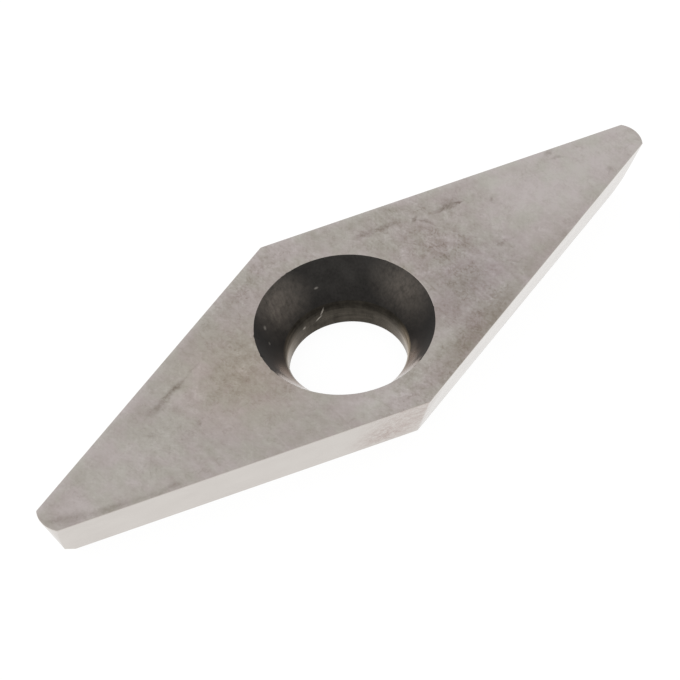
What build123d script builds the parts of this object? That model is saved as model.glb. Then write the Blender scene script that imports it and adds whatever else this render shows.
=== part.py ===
from build123d import *
import math
import os

# Diamond-shaped carbide cutting insert with two rounded noses, held by one countersunk screw.
# Frame: origin on the screw hole's axis at the seating face, +X through one nose, +Z up to the rake face.
# Everything is in millimetres and degrees.

# Plan shape, measured on the rake face (the larger, upper face).
inscribed_circle = 9.5      # circle that touches all four cutting edges
point_angle = 35.0          # between the two cutting edges that run to a nose
overall_length = 28.0       # nose to nose
nose_radius = 1.1           # larger than a tangent nose, so it meets the edges at two corners
side_corner_radius = 0.2    # the two wide corners, beside the hole

# Section.
thickness = 2.5
relief_angle = 20.0         # every flank leans in by this below its cutting edge

# Screw hole.
bore_diameter = 4.4         # clears an M4 screw
countersink_diameter = 6.7  # on the rake face
countersink_angle = 60.0    # included
throat_radius = 1.5         # rounds the cone into the bore

# Worked out from the above.
half_point = math.radians(point_angle / 2)
half_cone = math.radians(countersink_angle / 2)
sharp_half_length = inscribed_circle / 2 / math.sin(half_point)
sharp_half_width = inscribed_circle / 2 / math.cos(half_point)
nose_centre = overall_length / 2 - nose_radius
relief = math.radians(relief_angle)
relief_inset = thickness * math.tan(relief)
overrun = 1.0               # how far a cutter passes the faces that it cuts


def relieved_blank():
    """Plate split by a plane through each cutting edge that leans in by the relief angle, wide corners eased."""
    blank = Pos(0, 0, thickness / 2) * Box(2 * sharp_half_length, 2 * sharp_half_width, thickness)
    for facing in (90 - point_angle / 2, 90 + point_angle / 2):
        for turn in (0, 180):
            outward = Vector(1, 0, 0).rotate(Axis.Z, facing + turn)
            edge_middle = outward * (inscribed_circle / 2) + Vector(0, 0, thickness)
            normal = outward * math.cos(relief) - Vector(0, 0, math.sin(relief))
            blank = split(blank, bisect_by=Plane(origin=edge_middle, z_dir=normal), keep=Keep.BOTTOM)
    side_edges = blank.edges().sort_by(lambda edge: abs(edge.center().X))[:2]
    return fillet(side_edges, side_corner_radius)


def nose_grind():
    """Stock taken off beyond the +X nose centre, outside the cone that the nose is ground to."""
    stock_length = sharp_half_length + overrun - nose_centre
    stock = Pos(nose_centre, 0, thickness / 2) * Box(
        stock_length, 4 * nose_radius, thickness + 2 * overrun, align=(Align.MIN, Align.CENTER, Align.CENTER)
    )
    overrun_inset = overrun * math.tan(relief)
    nose_cone = Pos(nose_centre, 0, 0) * Cone(
        nose_radius - relief_inset, nose_radius + overrun_inset, thickness + overrun,
        align=(Align.CENTER, Align.CENTER, Align.MIN),
    )
    return stock - nose_cone


def screw_hole():
    """Bore and countersink as one turned cutter, with the corner between them rounded."""
    bore_radius = bore_diameter / 2
    countersink_radius = countersink_diameter / 2
    cone_end = thickness - (countersink_radius - bore_radius) / math.tan(half_cone)
    mouth_radius = countersink_radius + overrun * math.tan(half_cone)
    outline = [
        (0, -overrun),
        (bore_radius, -overrun),
        (bore_radius, cone_end),
        (mouth_radius, thickness + overrun),
        (0, thickness + overrun),
    ]
    half_section = make_face(Polyline(*outline, close=True))
    throat = half_section.vertices().sort_by_distance((bore_radius, cone_end))[0]
    return revolve(Plane.XZ * fillet(throat, throat_radius), Axis.Z)


right_nose = nose_grind()
left_nose = Rot(0, 0, 180) * right_nose
insert = (relieved_blank() - right_nose - left_nose - screw_hole()).solid()
insert.label = "carbide_insert"

os.makedirs("parts", exist_ok=True)
export_step(insert, "parts/carbide_insert.step")
print("volume_mm3", round(insert.volume, 3), "box_mm", insert.bounding_box().size)
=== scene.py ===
import math

import bpy
import bmesh
import numpy as np
from bpy.props import FloatProperty, FloatVectorProperty, PointerProperty
from bpy.types import Operator, Panel, PropertyGroup
from mathutils import Matrix, Vector


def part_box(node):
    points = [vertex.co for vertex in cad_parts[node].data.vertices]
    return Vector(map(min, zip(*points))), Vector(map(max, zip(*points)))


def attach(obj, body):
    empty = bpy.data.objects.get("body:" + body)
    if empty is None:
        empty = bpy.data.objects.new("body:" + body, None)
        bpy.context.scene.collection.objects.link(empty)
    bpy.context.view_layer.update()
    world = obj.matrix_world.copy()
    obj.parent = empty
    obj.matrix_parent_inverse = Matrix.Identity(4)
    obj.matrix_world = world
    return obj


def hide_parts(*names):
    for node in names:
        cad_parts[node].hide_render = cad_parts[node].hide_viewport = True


bl_info = {
    "name": "Carbide diamond insert",
    "version": (1, 0, 0),
    "blender": (4, 5, 0),
    "location": "3D View > Sidebar > Insert",
    "description": "A ground carbide cutting insert with a countersunk screw hole, and a plain studio for it",
    "category": "Add Mesh",
}

# Object frame: origin on the screw hole's axis at the seat, +X through one nose, +Z up to the rake face.
# Blender works in metres. Names that end in _MM, and every pattern, are in millimetres.

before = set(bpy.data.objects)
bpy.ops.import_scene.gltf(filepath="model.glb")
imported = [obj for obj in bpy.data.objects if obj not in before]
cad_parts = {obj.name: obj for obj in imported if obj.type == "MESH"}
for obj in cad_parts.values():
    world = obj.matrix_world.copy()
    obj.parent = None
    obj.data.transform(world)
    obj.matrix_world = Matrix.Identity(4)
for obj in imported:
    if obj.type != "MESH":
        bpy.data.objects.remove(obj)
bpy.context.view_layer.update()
NODE = "carbide_insert"
CAD_LOW, CAD_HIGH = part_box(NODE)
MM = 0.001

# Sizes that the ground finish follows as well as the shape.
INSCRIBED_CIRCLE_MM = 9.5
POINT_ANGLE = math.radians(35)
RAKE_FACE_MM = CAD_HIGH.z / MM

# Finish of each band of the surface, in the order of the insert's materials.
GROUND_FACE, GROUND_FLANK, SCREW_SEAT, BURNISHED_BORE = range(4)

# Mesh density, in columns for one quarter of the outline and in rings down the section.
NOSE_COLUMNS = 24
EDGE_COLUMNS = 84
SIDE_COLUMNS = 12
ROUNDING_RINGS = 6
FLANK_RINGS = 26
FACE_RINGS = 5
THROAT_RINGS = 14
CONE_RINGS = 16

# Points closer than this are one point, and faces that meet at more than this angle show a sharp edge.
MERGE_DISTANCE = 0.0002 * MM
SHARP_ANGLE = math.radians(25)


def to_linear(hex_colour):
    """Linear RGB of an sRGB hex colour: c / 12.92 up to 0.04045, then ((c + 0.055) / 1.055) ** 2.4."""
    parts = [int(hex_colour[i:i + 2], 16) / 255 for i in (1, 3, 5)]
    return tuple(c / 12.92 if c <= 0.04045 else ((c + 0.055) / 1.055) ** 2.4 for c in parts)


def with_alpha(colour):
    """The colour as RGBA, whether it is a hex string or a linear triple."""
    return (*(to_linear(colour) if isinstance(colour, str) else colour), 1.0)


# ---------------------------------------------------------------------------------------- settings

class InsertSizes(PropertyGroup):
    """Sizes of the insert, measured on the rake face.

    The screw seat is 10 degrees wider than the plain solid's, and a smaller radius runs it into the bore.
    """

    overall_length: FloatProperty(
        name="Overall length", description="From nose to nose",
        default=CAD_HIGH.x - CAD_LOW.x, unit="LENGTH", precision=5)
    thickness: FloatProperty(
        name="Thickness", description="From the seat to the rake face",
        default=CAD_HIGH.z, unit="LENGTH", precision=5)
    inscribed_circle: FloatProperty(
        name="Inscribed circle", description="Diameter of the circle that touches all four cutting edges",
        default=INSCRIBED_CIRCLE_MM * MM, unit="LENGTH", precision=5)
    point_angle: FloatProperty(
        name="Point angle", description="Between the two cutting edges that run to a nose",
        default=POINT_ANGLE, subtype="ANGLE", unit="ROTATION")
    relief_angle: FloatProperty(
        name="Relief angle", description="How far each flank leans in below its cutting edge",
        default=math.radians(20), subtype="ANGLE", unit="ROTATION")
    nose_radius: FloatProperty(
        name="Nose radius", description="Radius that the noses are ground to, centred on the long axis",
        default=1.1 * MM, unit="LENGTH", precision=5)
    side_corner_radius: FloatProperty(
        name="Side corner radius", description="Rounding of the two wide corners beside the hole",
        default=0.2 * MM, unit="LENGTH", precision=5)
    bore_diameter: FloatProperty(
        name="Bore", description="Diameter of the straight part of the screw hole",
        default=4.4 * MM, unit="LENGTH", precision=5)
    countersink_diameter: FloatProperty(
        name="Countersink", description="Diameter of the screw seat on the rake face",
        default=6.7 * MM, unit="LENGTH", precision=5)
    countersink_angle: FloatProperty(
        name="Countersink angle", description="Included angle of the screw seat",
        default=math.radians(70), subtype="ANGLE", unit="ROTATION")
    throat_radius: FloatProperty(
        name="Throat radius", description="Rounds the screw seat into the bore",
        default=0.8 * MM, unit="LENGTH", precision=5)
    edge_hone: FloatProperty(
        name="Edge hone", description="Small rounding left on the cutting and seat edges",
        default=0.012 * MM, unit="LENGTH", precision=6)
    rim_break: FloatProperty(
        name="Rim break", description="Small rounding of the hole's two rims",
        default=0.015 * MM, unit="LENGTH", precision=6)


class InsertFinish(PropertyGroup):
    """Colours of the four finishes."""

    ground_clean: FloatVectorProperty(
        name="Ground face, clean", description="Rake face and seat where they are clean",
        default=to_linear("#C4BEBB"), subtype="COLOR", min=0, max=1)
    ground_dull: FloatVectorProperty(
        name="Ground face, handled", description="Rake face and seat where handling has dulled them",
        default=to_linear("#8D8279"), subtype="COLOR", min=0, max=1)
    ground_stain: FloatVectorProperty(
        name="Ground face, stained", description="Scuffs and stains on the rake face",
        default=to_linear("#6B5E52"), subtype="COLOR", min=0, max=1)
    flank: FloatVectorProperty(
        name="Ground flank", description="Relieved flanks and noses",
        default=to_linear("#CCC6C0"), subtype="COLOR", min=0, max=1)
    screw_seat: FloatVectorProperty(
        name="Screw seat", description="Countersink, which is left as sintered",
        default=to_linear("#3A3836"), subtype="COLOR", min=0, max=1)
    bore: FloatVectorProperty(
        name="Bore", description="Bore and throat, which the pressing core has burnished",
        default=to_linear("#3F3B35"), subtype="COLOR", min=0, max=1)


class StudioSettings(PropertyGroup):
    """Camera, light and floor."""

    azimuth: FloatProperty(
        name="Azimuth", description="Which side the camera looks from, about Z",
        default=math.radians(-33.97), subtype="ANGLE", unit="ROTATION")
    elevation: FloatProperty(
        name="Elevation", description="How far the camera looks down",
        default=math.radians(50.0), subtype="ANGLE", unit="ROTATION")
    roll: FloatProperty(
        name="Roll", description="Turn of the camera about its own axis",
        default=math.radians(-6.21), subtype="ANGLE", unit="ROTATION")
    distance: FloatProperty(
        name="Distance", description="From the camera to the point that it looks at",
        default=273.3 * MM, unit="LENGTH", precision=4)
    target: FloatVectorProperty(
        name="Target", description="Point on the rake face that the camera looks at",
        default=(-0.601 * MM, -0.488 * MM, CAD_HIGH.z), subtype="TRANSLATION", unit="LENGTH", precision=5)
    lens: FloatProperty(
        name="Lens", description="Focal length in millimetres on a 36 mm wide sensor",
        default=395.05, unit="CAMERA")
    horizon_light: FloatProperty(
        name="Light at the horizon", description="Brightness of the surroundings at floor level, 1 is white",
        default=1.0, min=0)
    overhead_light: FloatProperty(
        name="Light overhead", description="Brightness of the surroundings straight above, 1 is white",
        default=0.85, min=0)
    softbox_power: FloatProperty(
        name="Softbox", description="Power of the one lamp, which gives the shadow its direction",
        default=0.7, unit="POWER")
    floor_colour: FloatVectorProperty(
        name="Floor", description="Colour of the plain floor",
        default=to_linear("#F4F4F3"), subtype="COLOR", min=0, max=1)


# ------------------------------------------------------------------------------------------- shape

def outline(sizes, inset):
    """Plan outline, one row of points for each inset, all four quarters in turn from the +X nose.

    With h half the point angle, a side at inset s lies on x sin h + y cos h = IC / 2 - s, and the nose
    is the arc of radius R - s about its centre on the long axis. The two meet where the arc has turned
    by 90 - h - acos((IC / 2 - s - centre sin h) / (R - s)) from that axis; where this is nothing, the
    sides run to a point instead. The wide corner is the ellipse that a leaning cylinder leaves on a
    level plane.
    """
    s = np.atleast_1d(inset)[:, None]
    half = sizes.point_angle / 2
    sin_h, cos_h = math.sin(half), math.cos(half)
    centre = sizes.overall_length / 2 - sizes.nose_radius
    side = sizes.inscribed_circle / 2 - s
    arc = sizes.nose_radius - s
    meet = np.clip((side - centre * sin_h) / arc, -1, 1)
    turn = np.maximum(math.pi / 2 - half - np.arccos(meet), 0)

    angle = turn * np.linspace(0, 1, NOSE_COLUMNS + 1)
    nose = np.stack([np.where(turn > 0, centre + arc * np.cos(angle), side / sin_h),
                     np.where(turn > 0, arc * np.sin(angle), 0)], -1)

    lean = math.atan(math.tan(sizes.relief_angle) / cos_h)
    across, along = sizes.side_corner_radius, sizes.side_corner_radius / math.cos(lean)
    middle = (side - math.hypot(across * sin_h, along * cos_h)) / cos_h
    widest = math.atan(across / along * math.tan(half))
    angle = widest * np.linspace(1, 0, SIDE_COLUMNS + 1)
    wide = np.stack([across * np.sin(angle) + 0 * middle, middle + along * np.cos(angle)], -1)

    share = np.linspace(0, 1, EDGE_COLUMNS + 1)[1:-1, None]
    edge = nose[:, -1:] * (1 - share) + wide[:, :1] * share
    quarter = np.concatenate([nose, edge, wide], 1)
    back = quarter[:, ::-1]
    return np.concatenate([
        quarter[:, :-1], (back * (-1, 1))[:, :-1], (-quarter)[:, :-1], (back * (1, -1))[:, :-1]], 1)


def circle(radius, columns):
    """Points at equal angles round the hole's axis, one row for each radius: (r cos a, r sin a)."""
    angle = np.linspace(0, 2 * math.pi, columns, endpoint=False)
    r = np.atleast_1d(radius)[:, None]
    return np.stack([r * np.cos(angle), r * np.sin(angle)], -1)


def rounding(centre, radius, start, end, rings=ROUNDING_RINGS):
    """Section points on an arc: centre + radius * (-sin t, cos t), as t goes from start to end."""
    t = np.linspace(start, end, rings + 1)
    return np.stack([centre[0] - radius * np.sin(t), centre[1] + radius * np.cos(t)], -1)


# Chips of the countersink's rim: angle round the hole and half width in degrees, depth in millimetres.
RIM_CHIPS = (
    (24, 1.0, 0.012), (91, 1.0, 0.022), (95, 0.7, 0.012), (148, 1.2, 0.022), (165, 0.9, 0.026),
    (178, 1.0, 0.024), (203, 1.2, 0.030), (209, 0.8, 0.016), (281, 0.9, 0.012), (288, 1.2, 0.012),
    (332, 1.0, 0.014),
)
# Height of the wave between them, and how far below the rake face chips and wave fade out.
RIM_WAVE_MM, RIM_WEAR_REACH = 0.003, 0.25 * MM


def rim_wear(columns):
    """How far the countersink's rim has broken away at each angle, in metres.

    A sum of bumps depth * exp(-((a - at) / width) ** 2) for the chips, over a slow wave, which is
    1 + sin(7 a) * sin(13 a + 40).
    """
    angle = np.linspace(0, 360, columns, endpoint=False)
    at, width, depth = np.array(RIM_CHIPS).T[:, :, None]
    away = (angle - at + 180) % 360 - 180
    chips = (depth * np.exp(-(away / width) ** 2)).sum(0)
    wave = RIM_WAVE_MM * (1 + np.sin(np.radians(7 * angle)) * np.sin(np.radians(13 * angle + 40)))
    return MM * (chips + wave)


def insert_rings(sizes):
    """Points of every ring of the closed surface in turn, and the finish of the band after each.

    The section is carried along the outline: the rake face out to the cutting edge, down the flank, in
    across the seat, then up the bore, the throat and the screw seat's cone, and back to the start.
    """
    tall, lean = sizes.thickness, math.tan(sizes.relief_angle)
    cos_r, sin_r = math.cos(sizes.relief_angle), math.sin(sizes.relief_angle)
    hone, soft = sizes.edge_hone, sizes.rim_break

    # Outer section, as (inset, height): the honed cutting edge, the flank and the seat edge. The flank
    # has one ring at the height where the noses' arcs end and the sides run to a point.
    top = rounding((hone * (1 + sin_r) / cos_r, tall - hone), hone, 0, math.pi / 2 + sizes.relief_angle)
    low = rounding(((hone + (tall - hone) * sin_r) / cos_r, hone), hone,
                   math.pi / 2 + sizes.relief_angle, math.pi)
    to_apex = 1 / math.sin(sizes.point_angle / 2)
    run_out = (sizes.inscribed_circle / 2 * to_apex - sizes.overall_length / 2) / (to_apex - 1)
    heights = np.unique(np.concatenate([
        np.linspace(top[-1, 1], low[0, 1], FLANK_RINGS), [tall - run_out / lean]]))[::-1]
    flank = np.stack([(tall - heights) * lean, heights], -1)[1:-1]
    outer = np.concatenate([[[top[0, 0] + hone, tall]], top, flank, low, [[low[-1, 0] + hone, 0]]])
    rim = outline(sizes, outer[:, 0])
    columns = rim.shape[1]

    # Inner section, as (radius, height): the lower rim, the bore, the throat, the cone and the upper rim.
    bore, sink, throat = sizes.bore_diameter / 2, sizes.countersink_diameter / 2, sizes.throat_radius
    half_cone = sizes.countersink_angle / 2
    sin_c, cos_c, tan_c = math.sin(half_cone), math.cos(half_cone), math.tan(half_cone)
    lower_rim = rounding((bore + soft, soft), soft, math.pi, math.pi / 2)
    upper_rim = rounding((sink + soft * (1 - sin_c) / cos_c, tall - soft), soft, math.pi / 2 - half_cone, 0)
    throat_top = tall - (sink - bore - throat * (1 - cos_c)) / tan_c
    throat_arc = rounding((bore + throat, throat_top - throat * sin_c), throat,
                          math.pi / 2, math.pi / 2 - half_cone, THROAT_RINGS)
    cone_z = np.linspace(throat_top, upper_rim[0, 1], CONE_RINGS + 1)[1:-1]
    cone = np.stack([sink - (tall - cone_z) * tan_c, cone_z], -1)
    inner = np.concatenate([[[bore + 2 * soft, 0]], lower_rim, throat_arc, cone, upper_rim,
                            [[upper_rim[-1, 0] + soft, tall]]])
    hole = circle(inner[:, 0], columns)

    # The upper rim's wear pushes its rings outwards, and fades down the cone.
    reach = np.clip(1 - (tall - inner[:, 1:]) / RIM_WEAR_REACH, 0, 1)
    hole = hole * (1 + reach * rim_wear(columns) / inner[:, :1])[..., None]

    share = np.linspace(0, 1, FACE_RINGS + 2)[1:-1, None, None]
    seat = rim[-1] * (1 - share) + hole[0] * share
    rake = hole[-1] * (1 - share) + rim[0] * share

    plan = np.concatenate([rim, seat, hole, rake])
    height = np.concatenate([outer[:, 1], np.zeros(FACE_RINGS), inner[:, 1], np.full(FACE_RINGS, tall)])
    points = np.concatenate([plan, np.broadcast_to(height[:, None, None], plan.shape[:2] + (1,))], -1)

    # The hone has the flank's finish, the lower rim the bore's, and the upper rim the rake face's.
    finish = np.full(len(points), GROUND_FACE)
    finish[1:len(outer) - 2] = GROUND_FLANK
    hole_start = len(outer) + FACE_RINGS + 1
    cone_start = hole_start + len(lower_rim) + THROAT_RINGS
    finish[hole_start:cone_start] = BURNISHED_BORE
    finish[cone_start:cone_start + len(cone) + 1] = SCREW_SEAT
    return points, finish


def closed_surface(name, points, finish):
    """Mesh of a grid that closes both ways, its coincident points merged and its faces turned outwards.

    Point (i, j) is ring i, column j, and each face joins (i, j), (i, j + 1), (i + 1, j + 1), (i + 1, j).
    """
    rings, columns = points.shape[:2]
    i, j = np.meshgrid(np.arange(rings), np.arange(columns), indexing="ij")
    after_i, after_j = (i + 1) % rings, (j + 1) % columns
    corners = np.stack([i * columns + j, i * columns + after_j,
                        after_i * columns + after_j, after_i * columns + j], -1).reshape(-1, 4)
    mesh = bpy.data.meshes.new(name)
    mesh.vertices.add(rings * columns)
    mesh.vertices.foreach_set("co", points.astype(np.float32).ravel())
    mesh.loops.add(corners.size)
    mesh.loops.foreach_set("vertex_index", corners.astype(np.int32).ravel())
    mesh.polygons.add(len(corners))
    mesh.polygons.foreach_set("loop_start", np.arange(0, corners.size, 4, dtype=np.int32))
    mesh.polygons.foreach_set("material_index", np.repeat(finish, columns).astype(np.int32))
    mesh.update(calc_edges=True)

    shell = bmesh.new()
    shell.from_mesh(mesh)
    bmesh.ops.remove_doubles(shell, verts=shell.verts, dist=MERGE_DISTANCE)
    bmesh.ops.dissolve_degenerate(shell, edges=shell.edges, dist=MERGE_DISTANCE)
    bmesh.ops.recalc_face_normals(shell, faces=shell.faces)
    if shell.calc_volume(signed=True) < 0:
        bmesh.ops.reverse_faces(shell, faces=shell.faces)
    shell.to_mesh(mesh)
    shell.free()
    mesh.polygons.foreach_set("use_smooth", np.ones(len(mesh.polygons), bool))
    mesh.set_sharp_from_angle(angle=SHARP_ANGLE)
    mesh.validate()
    return mesh


# --------------------------------------------------------------------------------------- materials

# Sockets of a Mix node of colours: its factor and its two colours, and its result among the outputs.
FACTOR, UNDER, OVER, MIXED = 0, 6, 7, 2


def add_node(tree, kind, settings=None, links=None):
    """Adds a node, sets its own values and its sockets' values, and joins its sockets."""
    made = tree.nodes.new(kind)
    for key, value in (settings or {}).items():
        if isinstance(key, str) and hasattr(made, key):
            setattr(made, key, value)
        else:
            made.inputs[key].default_value = value
    for key, socket in (links or {}).items():
        tree.links.new(socket, made.inputs[key])
    return made


def empty_tree(owner):
    """The node tree of a new material or world, with nothing in it."""
    owner.use_nodes = True
    owner.node_tree.nodes.clear()
    return owner.node_tree


def new_metal(name):
    """A node material with one metal shader, and the object's own coordinates in millimetres."""
    material = bpy.data.materials.new(name)
    tree = empty_tree(material)
    shader = add_node(tree, "ShaderNodeBsdfPrincipled", {"Metallic": 1.0})
    add_node(tree, "ShaderNodeOutputMaterial", links={"Surface": shader.outputs["BSDF"]})
    place = add_node(tree, "ShaderNodeTexCoord")
    in_mm = add_node(tree, "ShaderNodeMapping", {"vector_type": "POINT", "Scale": (1 / MM, 1 / MM, 1 / MM)},
                     {"Vector": place.outputs["Object"]})
    return material, tree, shader, in_mm.outputs["Vector"]


def dress(tree, shader, colour, roughness, height, strength, depth):
    """Gives the shader its colour, its roughness and a bump, whose depth is in metres."""
    bump = add_node(tree, "ShaderNodeBump", {"Strength": strength, "Distance": depth}, {"Height": height})
    for name, socket in (("Base Color", colour), ("Roughness", roughness),
                         ("Normal", bump.outputs["Normal"])):
        tree.links.new(socket, shader.inputs[name])


def blotches(tree, at, size, detail=2.0, rough=0.6, turn=0.0, shift=0.0, warp=0.0):
    """Noise, 0 to 1 about a half, with spots about size = (x, y, z) millimetres, turned by an angle about Z.

    Each shift moves it to another part of the noise, so that two patterns don't match.
    """
    laid = add_node(tree, "ShaderNodeMapping",
                    {"vector_type": "TEXTURE", "Scale": size, "Rotation": (0, 0, math.radians(turn)),
                     "Location": (shift, -0.7 * shift, 0.4 * shift)}, {"Vector": at})
    noise = add_node(tree, "ShaderNodeTexNoise",
                     {"Scale": 1.0, "Detail": detail, "Roughness": rough, "Distortion": warp},
                     {"Vector": laid.outputs["Vector"]})
    return noise.outputs["Fac"]


def smear(tree, at, centre, size, turn=(0, 0, 0)):
    """1 at the middle of an ellipsoid, falling to 0 at its surface.

    size is its half lengths in millimetres, and turn its turns about X, Y and Z in degrees.
    """
    laid = add_node(tree, "ShaderNodeMapping",
                    {"vector_type": "TEXTURE", "Location": centre, "Scale": size,
                     "Rotation": tuple(math.radians(angle) for angle in turn)}, {"Vector": at})
    ball = add_node(tree, "ShaderNodeTexGradient", {"gradient_type": "SPHERICAL"},
                    {"Vector": laid.outputs["Vector"]})
    return ball.outputs["Fac"]


def smears(tree, at, rows):
    """A layer for each row: a smear's centre, its size, how strong it is and, if it is turned, its turn."""
    return [(smear(tree, at, centre, size, *turn), weight, 0) for centre, size, weight, *turn in rows]


def on_rake_face(rows, depth):
    """Rows for smears from the rows of a flat table, on the rake face and with a half depth."""
    return [((x, y, RAKE_FACE_MM), (long, short, depth), weight, (0, 0, turn))
            for (x, y), (long, short), turn, weight in rows]


def glancing(tree, start, full):
    """0 until the line of sight is within start degrees of the surface, rising to 1 at full degrees."""
    facing = add_node(tree, "ShaderNodeLayerWeight", {"Blend": 0.5})
    near = add_node(tree, "ShaderNodeMapRange", {"From Min": 1 - math.sin(math.radians(start)),
                                                 "From Max": 1 - math.sin(math.radians(full))},
                    {"Value": facing.outputs["Facing"]})
    return near.outputs[0]


def layered(tree, start, layers):
    """start plus the sum of weight * (value - middle) over the layers, each a (value, weight, middle)."""
    constant = start - sum(weight * middle for _, weight, middle in layers)
    total = None
    for value, weight, _ in layers:
        step = add_node(tree, "ShaderNodeMath", {"operation": "MULTIPLY_ADD", 1: weight, 2: constant},
                        {0: value} if total is None else {0: value, 2: total})
        total = step.outputs[0]
    return total


# Where the rake face is marked: (x, y), (half length, half width), angle, how dark. Millimetres and degrees.
SCUFFS = (
    ((-6.72, 1.71), (1.05, 0.18), 14, 0.42),
    ((-6.42, 1.79), (0.55, 0.11), 14, 0.28),
    ((-7.00, 1.63), (0.35, 0.12), 14, 0.16),
    ((-5.50, 2.06), (0.60, 0.07), 15, 0.22),
    ((-7.60, 1.48), (0.70, 0.28), 10, 0.36),
    ((6.36, 1.87), (0.60, 0.17), -14, 0.46),
    ((6.86, 1.76), (0.20, 0.11), -14, 0.70),
    ((6.05, 1.92), (0.28, 0.12), -8, 0.28),
    ((6.55, 1.98), (0.75, 0.30), -13, 0.30),
    ((5.13, 2.20), (0.28, 0.09), 22, 0.62),
    ((5.36, 1.86), (0.42, 0.09), -60, 0.50),
    ((3.30, 2.85), (0.66, 0.18), -13, 0.45),
    ((4.15, 2.62), (0.60, 0.17), -17, 0.42),
    ((-6.90, -0.12), (0.20, 0.12), 20, 0.36),
    ((-8.55, 0.60), (0.24, 0.16), -30, 0.26),
    ((-9.30, -1.78), (0.26, 0.14), -17, 0.30),
    ((7.87, 1.01), (0.24, 0.10), 60, 0.32),
    ((10.87, 1.38), (0.28, 0.15), 0, 0.45),
    ((11.00, 0.97), (0.30, 0.08), -35, 0.30),
    ((12.07, -0.78), (0.26, 0.10), -40, 0.32),
    ((6.74, -0.87), (0.20, 0.16), 0, 0.40),
    ((-13.60, -0.16), (0.60, 0.22), -24, 0.24),
    ((-12.85, -0.56), (0.90, 0.26), -26, 0.22),
    ((-13.10, -0.52), (1.00, 0.50), -24, 0.18),
    ((-11.60, -1.12), (1.00, 0.20), -17.5, 0.26),
    ((-11.20, -1.30), (2.60, 0.30), -17.5, 0.12),
    ((-9.90, -1.68), (1.30, 0.12), -17.5, 0.20),
)

# Broad areas that are darker and duller (positive) or lighter (negative) than the rest, in the same way.
AREAS = (
    ((-10.40, 0.20), (2.8, 2.3), 0, -0.20),
    ((-8.00, 0.00), (1.6, 1.8), 0, -0.06),
    ((-4.20, 0.10), (2.2, 2.2), 0, 0.26),
    ((-3.70, 2.10), (1.8, 2.0), 20, 0.16),
    ((4.20, 1.30), (2.2, 2.2), -20, 0.22),
    ((4.40, -2.00), (2.3, 1.8), 17, 0.26),
    ((2.90, -3.70), (3.2, 0.95), 17.5, 0.50),
    ((3.10, -2.00), (1.1, 0.9), 0, 0.20),
    ((-1.80, 3.70), (1.5, 0.8), 17.5, 0.24),
    ((-1.60, -3.60), (1.7, 0.8), -17.5, -0.24),
    ((8.50, 1.70), (1.7, 0.8), -17.5, -0.24),
    ((4.60, -0.20), (1.7, 1.7), 0, 0.10),
    ((11.30, 0.00), (5.0, 3.2), 0, -0.34),
    ((8.80, 0.30), (2.2, 1.5), 0, -0.13),
    ((13.20, 0.00), (2.2, 1.6), 0, -0.10),
    ((-12.20, -0.50), (1.8, 1.0), 0, -0.14),
    ((7.80, -2.30), (6.0, 0.50), 17.5, 0.16),
)

# How busy the surface is with fine marks, over a quiet level, in the same way.
BUSY = (
    ((-8.60, -0.30), (2.0, 1.6), 0, 0.24),
    ((-6.50, 1.20), (2.2, 1.6), 14, 0.20),
    ((-3.70, 0.80), (1.9, 2.8), 0, 0.42),
    ((-1.00, 3.90), (4.0, 1.8), 0, 0.62),
    ((0.30, -4.10), (2.6, 1.3), 0, 0.75),
    ((4.90, 0.30), (3.0, 4.4), 0, 0.72),
    ((3.60, 3.00), (2.0, 1.6), -17, 0.30),
    ((3.40, -3.00), (2.8, 1.2), 17, 0.50),
    ((13.30, 0.00), (1.4, 1.2), 0, 0.30),
)

# Half depth of those marks: the areas reach down to the seat, and the scuffs stay on the rake face.
AREA_DEPTH, SCUFF_DEPTH = 4.0, 0.5


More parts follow.
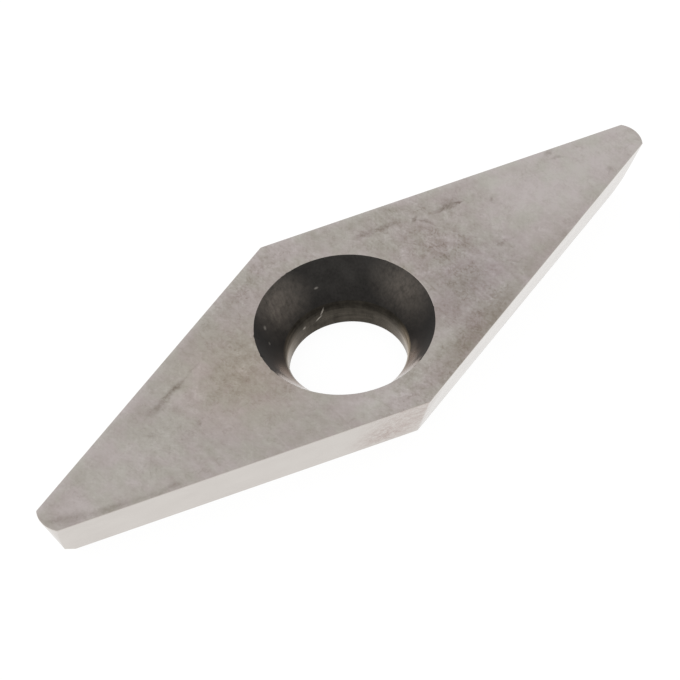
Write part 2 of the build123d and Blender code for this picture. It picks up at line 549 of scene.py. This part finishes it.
def surface_ground_carbide(finish):
    """Rake face and seat: tungsten carbide, ground flat on a diamond wheel and since handled.

    A warm grey metal with a satin gloss. Its lay runs across the short way in faint lines, and grease and
    rubbing have left it mottled and speckled round the hole, with a few dark scuffs.
    """
    material, tree, shader, at = new_metal("Surface ground tungsten carbide")

    # Lay of a 120 grit wheel: marks of 0.01 to 0.02 mm, drawn 0.09 mm apart so that they show, and in bands.
    lay = blotches(tree, at, (0.09, 2.6, 1.0))
    bands = blotches(tree, at, (0.42, 7.0, 1.0), shift=3.1)
    # Carbide's own mottle: pores and binder pools of about 0.01 mm, drawn at 0.1 to 0.5 mm.
    grain = blotches(tree, at, (0.085, 0.10, 0.10), shift=1.7)
    mottle = blotches(tree, at, (0.36, 0.44, 0.4), detail=4, rough=0.68, shift=5.3)
    # Films of oil that have dried in swirls of 0.7 mm and clouds of 2 mm.
    swirl = blotches(tree, at, (0.7, 0.8, 0.7), detail=2, shift=14.1, warp=1.0)
    cloud = blotches(tree, at, (1.8, 2.2, 1.5), detail=3, shift=9.2)
    # Rubbing marks that cross the lay, 0.1 mm wide and about 1 mm long.
    rub_left = blotches(tree, at, (0.09, 0.8, 1.0), turn=33, shift=2.4, warp=0.3)
    rub_right = blotches(tree, at, (0.10, 0.9, 1.0), turn=-38, shift=7.9, warp=0.3)

    # Specks of dirt of 0.1 to 0.2 mm in loose groups.
    speck = add_node(tree, "ShaderNodeMapRange", {"From Min": 0.60, "From Max": 0.72},
                     {"Value": blotches(tree, at, (0.12, 0.15, 0.1), detail=1, shift=6.6)})
    group = add_node(tree, "ShaderNodeMapRange", {"From Min": 0.44, "From Max": 0.60},
                     {"Value": blotches(tree, at, (0.9, 1.1, 1.0), shift=8.8)})
    specks = add_node(tree, "ShaderNodeMath", {"operation": "MULTIPLY"},
                      {0: speck.outputs[0], 1: group.outputs[0]})
    # Fibres of dried film, dark and light: lines along the middle level of a noise, shown in places.
    fibres = []
    for shift in (4.9, 11.3):
        curl = blotches(tree, at, (0.42, 0.5, 1.0), detail=1, shift=shift, warp=1.2)
        off = add_node(tree, "ShaderNodeMath", {"operation": "SUBTRACT", 1: 0.5}, {0: curl})
        away = add_node(tree, "ShaderNodeMath", {"operation": "ABSOLUTE"}, {0: off.outputs[0]})
        line = add_node(tree, "ShaderNodeMapRange",
                        {"From Min": 0.0, "From Max": 0.045, "To Min": 1.0, "To Max": 0.0},
                        {"Value": away.outputs[0]})
        part = add_node(tree, "ShaderNodeMapRange", {"From Min": 0.48, "From Max": 0.62},
                        {"Value": blotches(tree, at, (0.6, 0.7, 1.0), shift=shift + 9)})
        fibre = add_node(tree, "ShaderNodeMath", {"operation": "MULTIPLY"},
                         {0: line.outputs[0], 1: part.outputs[0]})
        fibres.append(fibre.outputs[0])

    # The fine marks lie over a broad tone, and are stronger where the face is busy.
    broad = layered(tree, 0.35, smears(tree, at, on_rake_face(AREAS, AREA_DEPTH))
                    + [(cloud, 0.34, 0.5), (bands, 0.20, 0.5)])
    busy = layered(tree, 0.50, smears(tree, at, on_rake_face(BUSY, AREA_DEPTH)))
    fine = layered(tree, 0.0, [(lay, 0.40, 0.5), (grain, 0.46, 0.5), (mottle, 0.70, 0.5), (swirl, 0.62, 0.5),
                               (rub_left, 0.36, 0.5), (rub_right, 0.32, 0.5),
                               (specks.outputs[0], 0.24, 0), (fibres[0], 0.30, 0), (fibres[1], -0.24, 0)])
    lively = add_node(tree, "ShaderNodeMath", {"operation": "MULTIPLY"}, {0: fine, 1: busy})

    # The cutting edges on the +Y side are painted brighter over a third of a millimetre, the others hardly: a
    # painted highlight.
    half_point, edge_mm = POINT_ANGLE / 2, INSCRIBED_CIRCLE_MM / 2
    folded = add_node(tree, "ShaderNodeVectorMath", {"operation": "ABSOLUTE"}, {0: at})
    outward = add_node(tree, "ShaderNodeVectorMath",
                       {"operation": "DOT_PRODUCT", 1: (math.sin(half_point), math.cos(half_point), 0)},
                       {0: folded.outputs[0]})
    near_edge = add_node(tree, "ShaderNodeMapRange",
                         {"From Min": edge_mm - 0.35, "From Max": edge_mm + 0.01},
                         {"Value": outward.outputs["Value"]})
    split = add_node(tree, "ShaderNodeSeparateXYZ", links={0: at})
    side = add_node(tree, "ShaderNodeMapRange",
                    {"From Min": -0.4, "From Max": 0.4, "To Min": -0.03, "To Max": -0.24},
                    {"Value": split.outputs["Y"]})
    # Painted highlight along the cutting edges, strongest on the +Y side.
    painted_edge_highlight = add_node(tree, "ShaderNodeMath", {"operation": "MULTIPLY"},
                      {0: near_edge.outputs[0], 1: side.outputs[0]})
    tone = layered(tree, 0.0, [(broad, 1.0, 0), (lively.outputs[0], 1.0, 0), (painted_edge_highlight.outputs[0], 1.0, 0)])
    clean = add_node(tree, "ShaderNodeMix", {"data_type": "RGBA", UNDER: with_alpha(finish.ground_clean),
                                             OVER: with_alpha(finish.ground_dull)}, {FACTOR: tone})

    # Oily films leave the face a little pinker or greener over a millimetre or so.
    film = add_node(tree, "ShaderNodeMapRange", {"From Min": 0.38, "From Max": 0.62},
                    {"Value": blotches(tree, at, (1.0, 1.2, 1.0), shift=12.5)})
    tint = add_node(tree, "ShaderNodeMix", {"data_type": "RGBA", UNDER: with_alpha("#FFFCFD"),
                                            OVER: with_alpha("#FAFCF7")}, {FACTOR: film.outputs[0]})
    tinted = add_node(tree, "ShaderNodeMix", {"data_type": "RGBA", "blend_type": "MULTIPLY", FACTOR: 1.0},
                      {UNDER: clean.outputs[MIXED], OVER: tint.outputs[MIXED]})

    # Oil has browned the face on the -X side of the hole, and greyed it on the +X side.
    for centre, size, turn, colour in (((-4.4, 0.6, RAKE_FACE_MM), (3.2, 3.2, AREA_DEPTH), 0, "#FFFAF4"),
                                       ((4.8, -1.6, RAKE_FACE_MM), (3.2, 2.4, AREA_DEPTH), 17, "#FBF9FF")):
        oiled = smear(tree, at, centre, size, (0, 0, turn))
        tinted = add_node(tree, "ShaderNodeMix",
                          {"data_type": "RGBA", "blend_type": "MULTIPLY", OVER: with_alpha(colour)},
                          {FACTOR: oiled, UNDER: tinted.outputs[MIXED]})

    # Scuffs, their edges made to wander by a tenth of a millimetre and broken by a short noise.
    jitter = add_node(tree, "ShaderNodeTexNoise", {"Scale": 4.5, "Detail": 2.0}, {"Vector": at})
    centred = add_node(tree, "ShaderNodeVectorMath", {"operation": "SUBTRACT", 1: (0.5, 0.5, 0.5)},
                       {0: jitter.outputs["Color"]})
    strayed = add_node(tree, "ShaderNodeVectorMath", {"operation": "MULTIPLY_ADD", 1: (0.30, 0.30, 0.0)},
                       {0: centred.outputs[0], 2: at})
    scuffs = layered(tree, 0.0, smears(tree, strayed.outputs[0], on_rake_face(SCUFFS, SCUFF_DEPTH)))
    broken = add_node(tree, "ShaderNodeMapRange",
                      {"From Min": 0.32, "From Max": 0.66, "To Min": 0.60, "To Max": 1.3},
                      {"Value": blotches(tree, at, (0.13, 0.10, 0.1), detail=3, rough=0.7, shift=4.4)})
    worn = add_node(tree, "ShaderNodeMath", {"operation": "MULTIPLY"}, {0: scuffs, 1: broken.outputs[0]})
    stained = add_node(tree, "ShaderNodeMix", {"data_type": "RGBA", OVER: with_alpha(finish.ground_stain)},
                       {FACTOR: worn.outputs[0], UNDER: tinted.outputs[MIXED]})

    gloss = layered(tree, 0.34, [(tone, 0.08, 0.4), (worn.outputs[0], 0.15, 0)])
    relief = layered(tree, 0.0, [(lay, 1.0, 0.5), (mottle, 0.6, 0.5), (grain, 0.4, 0.5)])
    dress(tree, shader, stained.outputs[MIXED], gloss, relief, 0.25, 0.004 * MM)
    return material


def peripheral_ground_carbide(finish):
    """Flanks and noses: tungsten carbide, ground on a finer wheel that ran along the edges.

    Lighter and glossier than the rake face, with a faint lay along the cutting edge, and a pinkish brown
    film near one wide corner.
    """
    material, tree, shader, at = new_metal("Periphery ground tungsten carbide")
    # Lay of a 240 grit wheel, drawn 0.06 mm apart down the flank.
    lay = blotches(tree, at, (3.5, 3.5, 0.06))
    cloud = blotches(tree, at, (1.4, 1.4, 0.9), detail=3, shift=6.1)
    mottle = blotches(tree, at, (0.20, 0.20, 0.22), detail=3, rough=0.7, shift=2.2)
    tone = layered(tree, 0.10, [(lay, 0.10, 0.5), (cloud, 0.30, 0.5), (mottle, 0.05, 0.5)])
    base = add_node(tree, "ShaderNodeMix", {"data_type": "RGBA", UNDER: with_alpha(finish.flank),
                                            OVER: with_alpha("#AFA59F")}, {FACTOR: tone})
    film = layered(tree, 0.0, smears(tree, at, (
        ((-0.6, -4.8, 1.0), (2.4, 1.2, 2.8), 0.65, (0, 0, -17.5)),
        ((-1.7, -4.2, 0.3), (1.6, 1.0, 1.5), 0.65, (0, 0, -17.5)))))
    patchy = add_node(tree, "ShaderNodeMapRange",
                      {"From Min": 0.36, "From Max": 0.62, "To Min": 0.2, "To Max": 1.1}, {"Value": mottle})
    soiled = add_node(tree, "ShaderNodeMath", {"operation": "MULTIPLY"}, {0: film, 1: patchy.outputs[0]})
    stained = add_node(tree, "ShaderNodeMix", {"data_type": "RGBA", OVER: with_alpha("#96796F")},
                       {FACTOR: soiled.outputs[0], UNDER: base.outputs[MIXED]})
    gloss = layered(tree, 0.18, [(cloud, 0.10, 0.5), (soiled.outputs[0], 0.15, 0)])
    dress(tree, shader, stained.outputs[MIXED], gloss, lay, 0.08, 0.003 * MM)
    return material


def as_sintered_carbide(finish):
    """Screw seat: carbide as it leaves the sintering furnace, never ground.

    Dark, dull grey with a fine grain, painted a little lighter and browner in four places as painted
    reflection, and with a few light specks of dust.
    """
    material, tree, shader, at = new_metal("As sintered tungsten carbide")
    # Sintered skin: grains of a few micrometres in clumps, drawn at 0.1 mm.
    grain = blotches(tree, at, (0.09, 0.09, 0.09), detail=3)
    cloud = blotches(tree, at, (0.8, 0.8, 0.6), detail=3, shift=3.3)
    tone = layered(tree, 0.38, [(grain, 1.1, 0.5), (cloud, 1.2, 0.5)])
    dark, light = (tuple(part * share for part in finish.screw_seat) for share in (0.62, 1.5))
    base = add_node(tree, "ShaderNodeMix", {"data_type": "RGBA", UNDER: with_alpha(dark),
                                            OVER: with_alpha(light)}, {FACTOR: tone})

    # Four places are painted lighter, one of them small and beside the throat: painted reflection, standing
    # in for the cone's brighter sides.
    places = layered(tree, 0.0, smears(tree, at, (
        ((-1.1, 2.65, 1.9), (1.8, 1.3, 1.3), 0.9),
        ((2.85, 0.05, 2.0), (1.3, 1.9, 1.3), 0.62),
        ((-1.7, -2.4, 1.8), (1.7, 1.5, 1.2), 0.7),
        ((1.75, -1.80, 1.15), (0.5, 0.6, 0.4), 1.2))))
    fleck = blotches(tree, at, (0.15, 0.15, 0.26), detail=4, rough=0.7, shift=7.7)
    patchy = add_node(tree, "ShaderNodeMapRange",
                      {"From Min": 0.25, "From Max": 0.72, "To Min": 0.35, "To Max": 1.10},
                      {"Value": layered(tree, 0.50, [(cloud, 0.5, 0.5), (fleck, 1.15, 0.5)])})
    # Painted reflection, broken up by the grain and the cloud.
    painted_light_mask = add_node(tree, "ShaderNodeMath", {"operation": "MULTIPLY"}, {0: places, 1: patchy.outputs[0]})
    lighter = add_node(tree, "ShaderNodeMix", {"data_type": "RGBA", OVER: with_alpha("#8C837A")},
                       {FACTOR: painted_light_mask.outputs[0], UNDER: base.outputs[MIXED]})
    # Specks of light dust, 0.1 mm across.
    dust = layered(tree, 0.0, smears(tree, at, (
        ((-2.06, 2.17, 1.99), (0.12, 0.12, 0.10), 0.9),
        ((-2.28, 1.65, 1.74), (0.09, 0.09, 0.08), 0.7),
        ((0.71, 2.66, 1.64), (0.11, 0.08, 0.05), 0.6))))
    dusty = add_node(tree, "ShaderNodeMix", {"data_type": "RGBA", OVER: with_alpha("#B5AFA8")},
                     {FACTOR: dust, UNDER: lighter.outputs[MIXED]})
    shader.inputs["Sheen Weight"].default_value = 0.12
    # Its reflection turns brown and dull at a glancing angle, unlike a polished metal's.
    shader.inputs["Specular Tint"].default_value = with_alpha("#E2D4CB")

    # Even a dull skin turns glossy at a glancing angle, where its grains stand too low to scatter the light.
    # The gloss starts at a steeper angle towards the throat, where the screw's head has smoothed the skin.
    split = add_node(tree, "ShaderNodeSeparateXYZ", links={0: at})
    near_throat = add_node(tree, "ShaderNodeMapRange", {"From Min": 2.0, "From Max": 1.4},
                           {"Value": split.outputs["Z"]})
    smoothed = add_node(tree, "ShaderNodeMath", {"operation": "MULTIPLY"},
                        {0: near_throat.outputs[0], 1: glancing(tree, 22, 12)})
    shine = add_node(tree, "ShaderNodeMath", {"operation": "MAXIMUM"},
                     {0: smoothed.outputs[0], 1: glancing(tree, 11, 7)})
    gloss = layered(tree, 0.46, [(grain, 0.25, 0.5), (shine.outputs[0], -0.38, 0)])
    dress(tree, shader, dusty.outputs[MIXED], gloss, grain, 0.35, 0.008 * MM)
    return material


def core_burnished_carbide(finish):
    """Throat and bore: sintered carbide that the pressing core slid along.

    Dark and brownish, smoother than the screw seat, so that it mirrors the floor below, with fine streaks
    along the bore and a light scratch.
    """
    material, tree, shader, at = new_metal("Core burnished tungsten carbide")
    # Marks of the core, 0.02 mm apart, drawn 0.06 to 0.1 mm apart, some round the bore and some along it.
    turned = blotches(tree, at, (1.6, 1.6, 0.06), shift=1.1)
    draw = blotches(tree, at, (0.10, 0.10, 1.2), shift=4.1)
    cloud = blotches(tree, at, (0.4, 0.4, 0.3), detail=3, shift=5.7)
    split = add_node(tree, "ShaderNodeSeparateXYZ", links={0: at})
    near_seat = add_node(tree, "ShaderNodeMapRange", {"From Min": 0.38, "From Max": 0.98},
                         {"Value": split.outputs["Z"]})
    tone = layered(tree, 0.42, [(turned, 0.9, 0.5), (draw, 0.6, 0.5), (cloud, 1.3, 0.5),
                                (near_seat.outputs[0], 0.08, 0)])
    dark, light = (tuple(part * share for part in finish.bore) for share in (0.5, 1.7))
    base = add_node(tree, "ShaderNodeMix", {"data_type": "RGBA", UNDER: with_alpha(dark),
                                            OVER: with_alpha(light)}, {FACTOR: tone})

    # Two sides are painted bright, in lines round the bore: a painted highlight.
    places = layered(tree, 0.0, smears(tree, at, (
        ((-1.7, 1.4, 0.8), (1.3, 1.3, 1.2), 0.35),
        ((1.7, -1.5, 0.9), (1.2, 1.5, 1.0), 1.5))))
    lines = add_node(tree, "ShaderNodeMapRange", {"From Min": 0.38, "From Max": 0.62, "To Min": 0.3},
                     {"Value": turned})
    # Painted highlight, broken into the lines of the core's marks.
    painted_light_mask = add_node(tree, "ShaderNodeMath", {"operation": "MULTIPLY"}, {0: places, 1: lines.outputs[0]})
    bright = add_node(tree, "ShaderNodeMix", {"data_type": "RGBA", OVER: with_alpha("#A89985")},
                      {FACTOR: painted_light_mask.outputs[0], UNDER: base.outputs[MIXED]})
    # A light scratch in two strokes on the far wall, and a nick beside it.
    scratch = layered(tree, 0.0, smears(tree, at, (
        ((0.54, 2.17, 0.85), (0.20, 0.10, 0.035), 1.0, (0, -52, 8)),
        ((0.36, 2.17, 0.61), (0.22, 0.10, 0.035), 1.0, (0, -33, 8)),
        ((-0.33, 2.18, 0.58), (0.10, 0.10, 0.07), 0.6))))
    scratched = add_node(tree, "ShaderNodeMix", {"data_type": "RGBA", OVER: with_alpha("#C9C2B8")},
                         {FACTOR: scratch, UNDER: bright.outputs[MIXED]})
    # A little warm at a glancing angle.
    shader.inputs["Specular Tint"].default_value = with_alpha("#F9F3ED")

    # It is as dull as the screw seat where the throat runs into it, save at a glancing angle.
    steep = add_node(tree, "ShaderNodeMath", {"operation": "MULTIPLY_ADD", 1: -0.9, 2: 1.0},
                     {0: glancing(tree, 20, 12)})
    dulled = add_node(tree, "ShaderNodeMath", {"operation": "MULTIPLY"},
                      {0: near_seat.outputs[0], 1: steep.outputs[0]})
    gloss = layered(tree, 0.24, [(draw, 0.12, 0.5), (dulled.outputs[0], 0.26, 0), (scratch, 0.2, 0)])
    dress(tree, shader, scratched.outputs[MIXED], gloss, draw, 0.30, 0.006 * MM)
    return material


# ----------------------------------------------------------------------------------------- studio

# Where it is seen, the floor is mostly an even glow, and the rest of it takes the light and the shadow.
GLOW_SHARE, GLOW_STRENGTH = 0.88, 1.06
# In metres: how far the floor reaches each way, and how far it lies below the insert's seat.
FLOOR_REACH, FLOOR_DROP = 3.0, 0.02 * MM
# The one lamp's place, from which it faces the insert, and its diameter, in metres.
SOFTBOX_PLACE, SOFTBOX_DIAMETER = Vector((-0.28, 0.30, 0.42)), 0.6
# The width of the camera's sensor, and the nearest that it sees, in metres.
SENSOR_WIDTH_MM = 36
NEAREST_VIEW = 0.01


def studio_floor(colour):
    """Plain floor that is white to the eye and in reflections, and still takes the object's shadow."""
    material = bpy.data.materials.new("Studio floor")
    tree = empty_tree(material)
    ray = add_node(tree, "ShaderNodeLightPath")
    seen = add_node(tree, "ShaderNodeMath", {"operation": "MAXIMUM"},
                    {0: ray.outputs["Is Camera Ray"], 1: ray.outputs["Is Glossy Ray"]})
    seen = add_node(tree, "ShaderNodeMath", {"operation": "MAXIMUM"},
                    {0: seen.outputs[0], 1: ray.outputs["Is Transmission Ray"]})
    share = add_node(tree, "ShaderNodeMath", {"operation": "MULTIPLY", 1: GLOW_SHARE}, {0: seen.outputs[0]})
    matt = add_node(tree, "ShaderNodeBsdfDiffuse", {"Color": with_alpha(colour)})
    glow = add_node(tree, "ShaderNodeEmission", {"Strength": GLOW_STRENGTH})
    both = add_node(tree, "ShaderNodeMixShader",
                    links={0: share.outputs[0], 1: matt.outputs[0], 2: glow.outputs[0]})
    add_node(tree, "ShaderNodeOutputMaterial", links={"Surface": both.outputs[0]})
    return material


def studio_world(settings):
    """Soft light from all round, from the horizon's brightness to the overhead one.

    It changes in a smooth step as the sine of the elevation goes from 0 to 0.8.
    """
    world = bpy.data.worlds.new("Studio light")
    tree = empty_tree(world)
    place = add_node(tree, "ShaderNodeTexCoord")
    split = add_node(tree, "ShaderNodeSeparateXYZ", links={"Vector": place.outputs["Generated"]})
    level = add_node(tree, "ShaderNodeMapRange",
                     {"interpolation_type": "SMOOTHSTEP", "From Min": 0.0, "From Max": 0.8,
                      "To Min": settings.horizon_light, "To Max": settings.overhead_light},
                     {"Value": split.outputs["Z"]})
    light = add_node(tree, "ShaderNodeBackground", {"Color": (1, 1, 1, 1)},
                     {"Strength": level.outputs["Result"]})
    add_node(tree, "ShaderNodeOutputWorld", links={"Surface": light.outputs[0]})
    return world


def camera_place(settings):
    """Where the camera stands and how it is turned.

    It stands at its distance from the target along (sin a cos e, -cos a cos e, sin e), for azimuth a and
    elevation e, faces the target, and is rolled about that line.
    """
    azimuth, elevation = settings.azimuth, settings.elevation
    back = Vector((math.sin(azimuth) * math.cos(elevation), -math.cos(azimuth) * math.cos(elevation),
                   math.sin(elevation)))
    level = Vector((math.cos(azimuth), math.sin(azimuth), 0))
    right = level * math.cos(settings.roll) + back.cross(level) * math.sin(settings.roll)
    turned = Matrix((right, back.cross(right), back)).transposed().to_4x4()
    return Matrix.Translation(Vector(settings.target) + back * settings.distance) @ turned


# --------------------------------------------------------------------------------------- operators

def add_object(scene, name, data):
    """A new object in the scene, at the origin."""
    added = bpy.data.objects.new(name, data)
    scene.collection.objects.link(added)
    return added


class BuildInsert(Operator):
    """Build the ground insert in place of its plain solid"""

    bl_idname = "insert_maker.build_insert"
    bl_label = "Build insert"

    def execute(self, context):
        scene = context.scene
        mesh = closed_surface("ground_insert", *insert_rings(scene.insert_sizes))
        # In the order of GROUND_FACE, GROUND_FLANK, SCREW_SEAT and BURNISHED_BORE.
        for make in (surface_ground_carbide, peripheral_ground_carbide, as_sintered_carbide,
                     core_burnished_carbide):
            mesh.materials.append(make(scene.insert_finish))
        piece = add_object(scene, "ground_insert", mesh)
        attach(piece, "root")
        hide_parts(NODE)
        return {"FINISHED"}


class BuildStudio(Operator):
    """Build the floor, the soft light and the camera"""

    bl_idname = "insert_maker.build_studio"
    bl_label = "Build studio"

    def execute(self, context):
        scene, settings = context.scene, context.scene.studio_settings
        mesh = bpy.data.meshes.new("studio_floor")
        reach, below = FLOOR_REACH, -FLOOR_DROP
        mesh.from_pydata([(-reach, -reach, below), (reach, -reach, below), (reach, reach, below),
                          (-reach, reach, below)], [], [(0, 1, 2, 3)])
        mesh.materials.append(studio_floor(settings.floor_colour))
        floor = add_object(scene, "studio_floor", mesh)

        scene.world = studio_world(settings)
        lamp = bpy.data.lights.new("softbox", "AREA")
        lamp.shape = "DISK"
        lamp.size = SOFTBOX_DIAMETER
        lamp.energy = settings.softbox_power
        facing = SOFTBOX_PLACE.to_track_quat("Z", "Y").to_matrix().to_4x4()
        add_object(scene, "softbox", lamp).matrix_world = Matrix.Translation(SOFTBOX_PLACE) @ facing

        lens = bpy.data.cameras.new("camera")
        lens.sensor_width = SENSOR_WIDTH_MM
        lens.lens = settings.lens
        lens.clip_start = NEAREST_VIEW
        scene.camera = add_object(scene, "camera", lens)
        scene.camera.matrix_world = camera_place(settings)

        scene.view_settings.view_transform = "Standard"
        return {"FINISHED"}


class InsertPanel(Panel):
    """The insert's sizes and finishes, and its studio"""

    bl_idname = "VIEW3D_PT_insert_maker"
    bl_label = "Carbide insert"
    bl_space_type = "VIEW_3D"
    bl_region_type = "UI"
    bl_category = "Insert"

    def draw(self, context):
        for group, operator in ((context.scene.insert_sizes, None),
                                (context.scene.insert_finish, BuildInsert.bl_idname),
                                (context.scene.studio_settings, BuildStudio.bl_idname)):
            box = self.layout.box()
            for name in group.bl_rna.properties.keys():
                if name not in ("rna_type", "name"):
                    box.prop(group, name)
            if operator:
                box.operator(operator)


CLASSES = (InsertSizes, InsertFinish, StudioSettings, BuildInsert, BuildStudio, InsertPanel)


def register():
    for each in CLASSES:
        bpy.utils.register_class(each)
    bpy.types.Scene.insert_sizes = PointerProperty(type=InsertSizes)
    bpy.types.Scene.insert_finish = PointerProperty(type=InsertFinish)
    bpy.types.Scene.studio_settings = PointerProperty(type=StudioSettings)


def unregister():
    del bpy.types.Scene.studio_settings
    del bpy.types.Scene.insert_finish
    del bpy.types.Scene.insert_sizes
    for each in reversed(CLASSES):
        bpy.utils.unregister_class(each)


def main():
    register()
    bpy.ops.insert_maker.build_insert()
    bpy.ops.insert_maker.build_studio()


if __name__ == "__main__":
    main()
